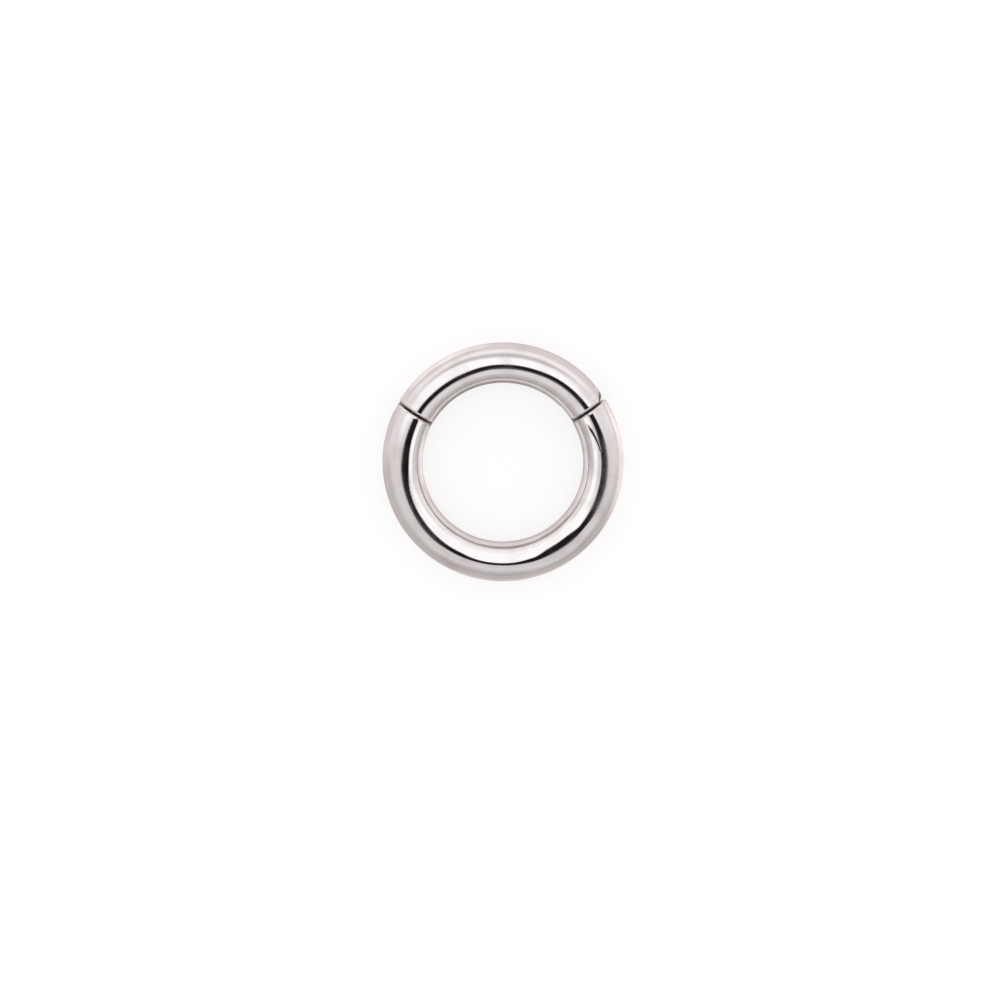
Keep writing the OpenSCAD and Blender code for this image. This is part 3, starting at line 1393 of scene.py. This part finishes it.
@dataclass(frozen=True)
class LightTent:
    """A white tent round the ring.

    Radiances are given as multiples of the picture's white. The steel throws back about six tenths of them.

    Attributes:
        view: The photo's view, which the tent is lit from.
        above: For directions above the view axis, pairs of the angle from it and the radiance there.
        beside: The same for directions to either side of it.
        below: The same for directions below it.
        beside_blend: How far up the picture a direction points, from -1 to 1, where `below` starts and where
            it has finished giving way to `beside`.
        above_blend: The same for `beside` and `above`.
        right_glow: Extra radiance on the right.
        right_blend: How far right a direction points where that glow starts and where it is full.
    """

    view: PhotoView
    above: tuple[tuple[float, float], ...] = (
        (0, 1.3), (30, 1.05), (40, 0.86), (48, 1.0), (60, 1.52), (75, 1.4), (90, 1.28), (180, 1.1),
    )
    beside: tuple[tuple[float, float], ...] = (
        (0, 1.3), (50, 1.3), (80, 1.2), (90, 1.3), (180, 1.1),
    )
    below: tuple[tuple[float, float], ...] = (
        (0, 1.1), (40, 1.02), (60, 1.12), (70, 0.97), (80, 0.84), (88, 0.74), (100, 0.66), (180, 0.8),
    )
    beside_blend: tuple[float, float] = (-0.25, 0.05)
    above_blend: tuple[float, float] = (0.3, 0.6)
    right_glow: float = 0.15
    right_blend: tuple[float, float] = (0.8, 0.98)

    def ramp(self, tree: bpy.types.NodeTree, angle: bpy.types.Node, stops: tuple) -> bpy.types.Node:
        """Adds a ramp from the angle off the view axis to a radiance.

        Args:
            tree: The world's tree.
            angle: The node that gives the angle as a share of half a turn.
            stops: Pairs of angle and radiance.

        Returns:
            The ramp's node, whose first output is the radiance as a share of the highest of any ramp.
        """
        node = add_node(tree, "ShaderNodeValToRGB", {0: angle})
        ramp = node.color_ramp
        while len(ramp.elements) < len(stops):
            ramp.elements.new(1.0)
        for element, (degrees, _) in zip(ramp.elements, stops):
            element.position = degrees / 180
        # The radiances follow when all the places are set, because a place may change the elements' order.
        for element, (_, radiance) in zip(ramp.elements, stops):
            share = radiance / self.brightest
            element.color = (share, share, share, 1.0)
        return node

    @property
    def brightest(self) -> float:
        """The highest radiance of any ramp."""
        return max(radiance for _, radiance in self.above + self.beside + self.below)

    def world(self) -> bpy.types.World:
        """Builds the tent as the scene's world.

        Returns:
            The world.
        """
        made = bpy.data.worlds.new("light_tent")
        made.use_nodes = True
        tree = made.node_tree
        tree.nodes.clear()
        ray = add_node(tree, "ShaderNodeTexCoord").outputs["Generated"]
        toward, up, right = (
            add_node(tree, VECTOR, {0: ray, 1: way}, operation="DOT_PRODUCT").outputs["Value"]
            for way in (self.view.toward, self.view.up, self.view.RIGHT)
        )
        radians = add_node(tree, MATH, {0: toward}, operation="ARCCOSINE")
        angle = add_node(tree, MATH, {0: radians, 1: math.pi}, operation="DIVIDE")
        cloth = self.ramp(tree, angle, self.below).outputs[0]
        for stops, (start, stop) in ((self.beside, self.beside_blend), (self.above, self.above_blend)):
            higher = add_node(
                tree,
                MAP_RANGE,
                {"Value": up, "From Min": start, "From Max": stop},
                interpolation_type="SMOOTHSTEP",
            )
            feeds = {"Factor": higher, "A": cloth, "B": self.ramp(tree, angle, stops).outputs[0]}
            cloth = add_node(tree, "ShaderNodeMix", feeds, data_type="RGBA").outputs["Result"]
        start, full = self.right_blend
        most = self.right_glow / self.brightest
        glow = add_node(
            tree,
            MAP_RANGE,
            {"Value": right, "From Min": start, "From Max": full, "To Max": most},
            interpolation_type="SMOOTHSTEP",
        )
        lit = add_node(tree, VECTOR, {0: cloth, 1: glow}, operation="ADD")
        shell = add_node(tree, "ShaderNodeBackground", {"Color": lit, "Strength": self.brightest})
        add_node(tree, "ShaderNodeOutputWorld", {"Surface": shell})
        bpy.context.scene.world = made
        return made


@dataclass(frozen=True)
class StudioCard:
    """A card or lamp over the ring, which is seen only in the steel.

    Attributes:
        view: The photo's view.
        name: Name of its object.
        right: Distance of its middle right of the view axis.
        up: Distance of its middle above the view axis.
        distance: Distance of its middle from the ring's, along the view axis.
        half_width: Half its width.
        half_height: Half its height.
        squareness: Power that rounds its corners: 2 makes it oval, and more makes it squarer.
        colour: Its colour.
        glow: Its radiance, as a multiple of that colour.
        soft_edge: Share of its size over which its upper edge fades.
        softer_edge: The same at its lower edge.
    """

    view: PhotoView
    name: str = ""
    right: float = 0.0
    up: float = 0.0
    distance: float = 55 * MM
    half_width: float = 1 * MM
    half_height: float = 1 * MM
    squareness: float = 2.0
    colour: str = "#FFFFFF"
    glow: float = 1.0
    soft_edge: float = 0.1
    softer_edge: float = 0.1

    # Heights on the card, from -1 to 1, between which the lower edge's fade gives way to the upper edge's.
    LOWER_FADE_TOP = -1.0
    UPPER_FADE_FOOT = 0.2

    def material(self) -> bpy.types.Material:
        """Builds the card's light, which fades at its edges.

        Returns:
            The material.
        """
        made = blank_material(self.name + "_light")
        tree = made.node_tree
        there = add_node(tree, "ShaderNodeTexCoord").outputs["Object"]
        scale = (1 / self.half_width, 1 / self.half_height, 0.0)
        share = add_node(tree, VECTOR, {0: there, 1: scale}, operation="MULTIPLY")
        height = add_node(tree, "ShaderNodeSeparateXYZ", {0: share}).outputs["Y"]
        folded = add_node(tree, VECTOR, {0: share}, operation="ABSOLUTE")
        size = add_node(tree, "ShaderNodeSeparateXYZ", {0: folded})
        wide = add_node(tree, MATH, {0: size.outputs["X"], 1: self.squareness}, operation="POWER")
        high = add_node(tree, MATH, {0: size.outputs["Y"], 1: self.squareness}, operation="POWER")
        both = add_node(tree, MATH, {0: wide, 1: high}, operation="ADD")
        radius = add_node(tree, MATH, {0: both, 1: 1 / self.squareness}, operation="POWER")
        inner = add_node(
            tree,
            MAP_RANGE,
            {
                "Value": height,
                "From Min": self.LOWER_FADE_TOP,
                "From Max": self.UPPER_FADE_FOOT,
                "To Min": 1 - self.softer_edge,
                "To Max": 1 - self.soft_edge,
            },
        )
        fade = add_node(
            tree,
            MAP_RANGE,
            {"Value": radius, "From Min": inner, "From Max": 1.0},
            interpolation_type="SMOOTHSTEP",
        )
        colour = self.paint(tree, share)
        light = add_node(tree, "ShaderNodeEmission", {"Color": colour, "Strength": self.glow})
        gone = add_node(tree, "ShaderNodeBsdfTransparent")
        card = add_node(tree, "ShaderNodeMixShader", {0: self.clear(tree, share, fade), 1: light, 2: gone})
        add_node(tree, "ShaderNodeOutputMaterial", {"Surface": card})
        return made

    def paint(
        self, tree: bpy.types.NodeTree, share: bpy.types.Node
    ) -> tuple[float, float, float, float] | bpy.types.NodeSocket:
        """Gives the card's colour, which for a plain card is one colour all over."""
        return linear_colour(self.colour)

    def clear(
        self, tree: bpy.types.NodeTree, share: bpy.types.Node, fade: bpy.types.Node
    ) -> bpy.types.Node:
        """Gives how much the card is clear, which for an oval card is its fade alone."""
        return fade

    def make(self) -> bpy.types.Object:
        """Makes the card, places it, and keeps it out of the lens, the diffuse light and the shadows.

        Returns:
            The card.
        """
        shape = bmesh.new()
        stretch = Matrix.Diagonal((self.half_width, self.half_height, 1, 1))
        bmesh.ops.create_grid(shape, x_segments=1, y_segments=1, size=1.0, matrix=stretch)
        made = mesh_object(self.name, shape)
        made.matrix_world = self.view.facing(self.right, self.up, self.distance)
        made.data.materials.append(self.material())
        made.visible_camera = False
        made.visible_diffuse = False
        made.visible_shadow = False
        return made


@dataclass(frozen=True)
class Softbox(StudioCard):
    """The main lamp's soft cloth, over the ring."""

    name: str = "softbox"
    right: float = -8 * MM
    up: float = 10 * MM
    distance: float = 57 * MM
    half_width: float = 50 * MM
    half_height: float = 27 * MM
    squareness: float = 4.0
    colour: str = "#F9FFFF"
    glow: float = 1.7
    soft_edge: float = 0.5
    softer_edge: float = 0.5


@dataclass(frozen=True)
class SmallPanel(StudioCard):
    """A small round light panel over the ring's opening, which lights the ring's inner side."""

    name: str = "small_panel"
    distance: float = 4.9 * MM
    half_width: float = 2.95 * MM
    half_height: float = 2.95 * MM
    colour: str = "#F9FFFF"
    glow: float = 1.68
    soft_edge: float = 0.3
    softer_edge: float = 0.3


@dataclass(frozen=True)
class SegmentFlag(StudioCard):
    """A pale arched flag over the segment's inner side, which keeps the small panel's light off it.

    Its outer rim is dark, which carries on the dark card's reflection.

    Attributes:
        middle: Direction from the flag's own centre to the middle of its arch.
        half_span: Half the angle that it spans.
        hole: Radius of its inner edge, as a share of its outer one.
        edge: Width of its other edges' fade, as a cosine and as a share of its radius.
        rim: Colour of its outer rim.
        rim_right: How far the rim's middle is right of the flag's, as a share of its outer radius.
        rim_start: Share of that radius at which the rim starts.
        rim_full: Share of that radius from which it is fully dark.
    """

    name: str = "segment_flag"
    up: float = -0.3 * MM
    distance: float = 2.3 * MM
    half_width: float = 4.7 * MM
    half_height: float = 4.7 * MM
    glow: float = 1.15
    soft_edge: float = 0.04
    softer_edge: float = 0.04
    middle: float = 91.0
    half_span: float = 60.5
    hole: float = 0.62
    edge: float = 0.02
    rim: str = "#241A1B"
    rim_right: float = 0.02
    rim_start: float = 0.896
    rim_full: float = 0.968

    def paint(self, tree: bpy.types.NodeTree, share: bpy.types.Node) -> bpy.types.NodeSocket:
        """Adds the nodes that darken the flag's outer rim.

        Args:
            tree: The material's tree.
            share: The node that gives a point's place as shares of the half width and half height.

        Returns:
            The socket that gives the flag's colour.
        """
        middle = (self.rim_right, 0.0, 0.0)
        away = add_node(tree, VECTOR, {0: share, 1: middle}, operation="DISTANCE").outputs["Value"]
        rim = add_node(
            tree,
            MAP_RANGE,
            {"Value": away, "From Min": self.rim_start, "From Max": self.rim_full},
            interpolation_type="SMOOTHSTEP",
        )
        feeds = {"Factor": rim, "A": linear_colour(self.colour), "B": linear_colour(self.rim)}
        return add_node(tree, "ShaderNodeMix", feeds, data_type="RGBA").outputs["Result"]

    def clear(
        self, tree: bpy.types.NodeTree, share: bpy.types.Node, fade: bpy.types.Node
    ) -> bpy.types.Node:
        """Adds the nodes that cut the flag to its arch.

        Args:
            tree: The material's tree.
            share: The node that gives a point's place as shares of the half width and half height.
            fade: The node that gives how much the card fades at its outer edge.

        Returns:
            A node whose output is 1 where the flag is clear.
        """
        turn = math.radians(self.middle)
        middle = (math.cos(turn), math.sin(turn), 0.0)
        bearing = add_node(tree, VECTOR, {0: share}, operation="NORMALIZE")
        nearness = add_node(tree, VECTOR, {0: bearing, 1: middle}, operation="DOT_PRODUCT").outputs["Value"]
        radius = add_node(tree, VECTOR, {0: share}, operation="LENGTH").outputs["Value"]
        for value, limit in ((nearness, math.cos(math.radians(self.half_span))), (radius, self.hole)):
            cut = add_node(
                tree,
                MAP_RANGE,
                {
                    "Value": value,
                    "From Min": limit - self.edge,
                    "From Max": limit,
                    "To Min": 1.0,
                    "To Max": 0.0,
                },
            )
            fade = add_node(tree, MATH, {0: fade, 1: cut}, operation="MAXIMUM")
        return fade


@dataclass(frozen=True)
class DarkCard(StudioCard):
    """An oval dark card below the softbox, which polished steel needs to show its form."""

    name: str = "dark_card"
    right: float = 8.5 * MM
    up: float = -20.5 * MM
    half_width: float = 22.5 * MM
    half_height: float = 16.5 * MM
    colour: str = "#241A1B"
    soft_edge: float = 0.32
    softer_edge: float = 0.6


@dataclass(frozen=True)
class StudioFloor:
    """A grey sheet over a light table, which is brighter at the back and on the right.

    The steel sees the table's uneven light. The lens sees an even one, so that the sheet looks plain white.

    Attributes:
        half: Half its width.
        sheet: Colour of the sheet.
        roughness: Roughness of the sheet.
        lens_glow: Radiance that the table adds for the lens.
        front_glow: Radiance that it adds for the steel in front of the ring.
        back_glow: The same behind the ring.
        fade: Distance from the ring's centre at which each of them is reached.
        pools: Soft pools of light or shade: how far right and back each is, its core's and rim's radius, and
            what it adds.
    """

    half: float = 1.0
    sheet: str = "#8F8D8C"
    roughness: float = 0.9
    lens_glow: float = 0.72
    front_glow: float = 0.52
    back_glow: float = 0.82
    fade: float = 9 * MM
    pools: tuple[tuple[float, float, float, float, float], ...] = (
        (0.0, 0.0, 6.3 * MM, 8.5 * MM, 0.25),
        (0.0, 0.0, 4 * MM, 5.5 * MM, -0.25),
        (0.0, -4 * MM, 4 * MM, 6 * MM, 0.30),
        (-0.7 * MM, 2 * MM, 1.2 * MM, 2.8 * MM, -0.35),
        (-2.9 * MM, 0.0, 0.5 * MM, 1.8 * MM, 0.60),
        (9 * MM, 0.0, 2 * MM, 6 * MM, 0.75),
        (-9 * MM, 0.0, 2 * MM, 6 * MM, 0.10),
        (-4 * MM, 6.5 * MM, 1.5 * MM, 4.5 * MM, 0.45),
    )

    def material(self) -> bpy.types.Material:
        """Builds the sheet's material.

        Returns:
            The material.
        """
        made = blank_material("pale_sheet")
        tree = made.node_tree
        there = add_node(tree, "ShaderNodeTexCoord").outputs["Object"]
        depth = add_node(tree, "ShaderNodeSeparateXYZ", {0: there}).outputs["Y"]
        steel_glow = add_node(
            tree,
            MAP_RANGE,
            {
                "Value": depth,
                "From Min": -self.fade,
                "From Max": self.fade,
                "To Min": self.front_glow,
                "To Max": self.back_glow,
            },
            interpolation_type="SMOOTHSTEP",
        )
        for right, back, core, rim, radiance in self.pools:
            middle = (right, back, 0.0)
            away = add_node(tree, VECTOR, {0: there, 1: middle}, operation="DISTANCE").outputs["Value"]
            pool = add_node(
                tree,
                MAP_RANGE,
                {"Value": away, "From Min": core, "From Max": rim, "To Min": radiance, "To Max": 0.0},
                interpolation_type="SMOOTHSTEP",
            )
            steel_glow = add_node(tree, MATH, {0: steel_glow, 1: pool}, operation="ADD")
        lens = add_node(tree, "ShaderNodeLightPath").outputs["Is Camera Ray"]
        glow = add_node(tree, "ShaderNodeMix", {"Factor": lens, "A": steel_glow, "B": self.lens_glow})
        surface = add_node(
            tree,
            "ShaderNodeBsdfPrincipled",
            {
                "Base Color": linear_colour(self.sheet),
                "Roughness": self.roughness,
                "Specular IOR Level": 0.0,
                "Emission Color": (1.0, 1.0, 1.0, 1.0),
                "Emission Strength": glow,
            },
        )
        add_node(tree, "ShaderNodeOutputMaterial", {"Surface": surface})
        return made

    def make(self) -> bpy.types.Object:
        """Makes the floor.

        Returns:
            The floor.
        """
        shape = bmesh.new()
        bmesh.ops.create_grid(shape, x_segments=1, y_segments=1, size=self.half)
        made = mesh_object("studio_floor", shape)
        made.data.materials.append(self.material())
        return made


def main() -> None:
    """Builds the studio and the hoop's three pieces, in order."""
    logging.basicConfig(level=logging.INFO, format="%(name)s: %(message)s")
    bpy.context.scene.view_settings.view_transform = "Standard"
    hoop = Hoop.from_frame()
    view = PhotoView(hoop.ring)
    view.camera()
    LightTent(view).world()
    for card in (Softbox, SmallPanel, SegmentFlag, DarkCard):
        card(view).make()
    StudioFloor().make()
    finishes = Finishes(MirrorPolish(hoop.ring, hoop.catch.angle).material(), SawnFace().material())
    blank = WireBlank(hoop.ring)
    for kind in (HoopBody, SwingSegment, HingePin):
        piece = kind(hoop, finishes, blank).make()
        log.info("%s stands for %s on body %s", piece.name, kind.NODE, kind.BODY)


if __name__ == "__main__":
    main()
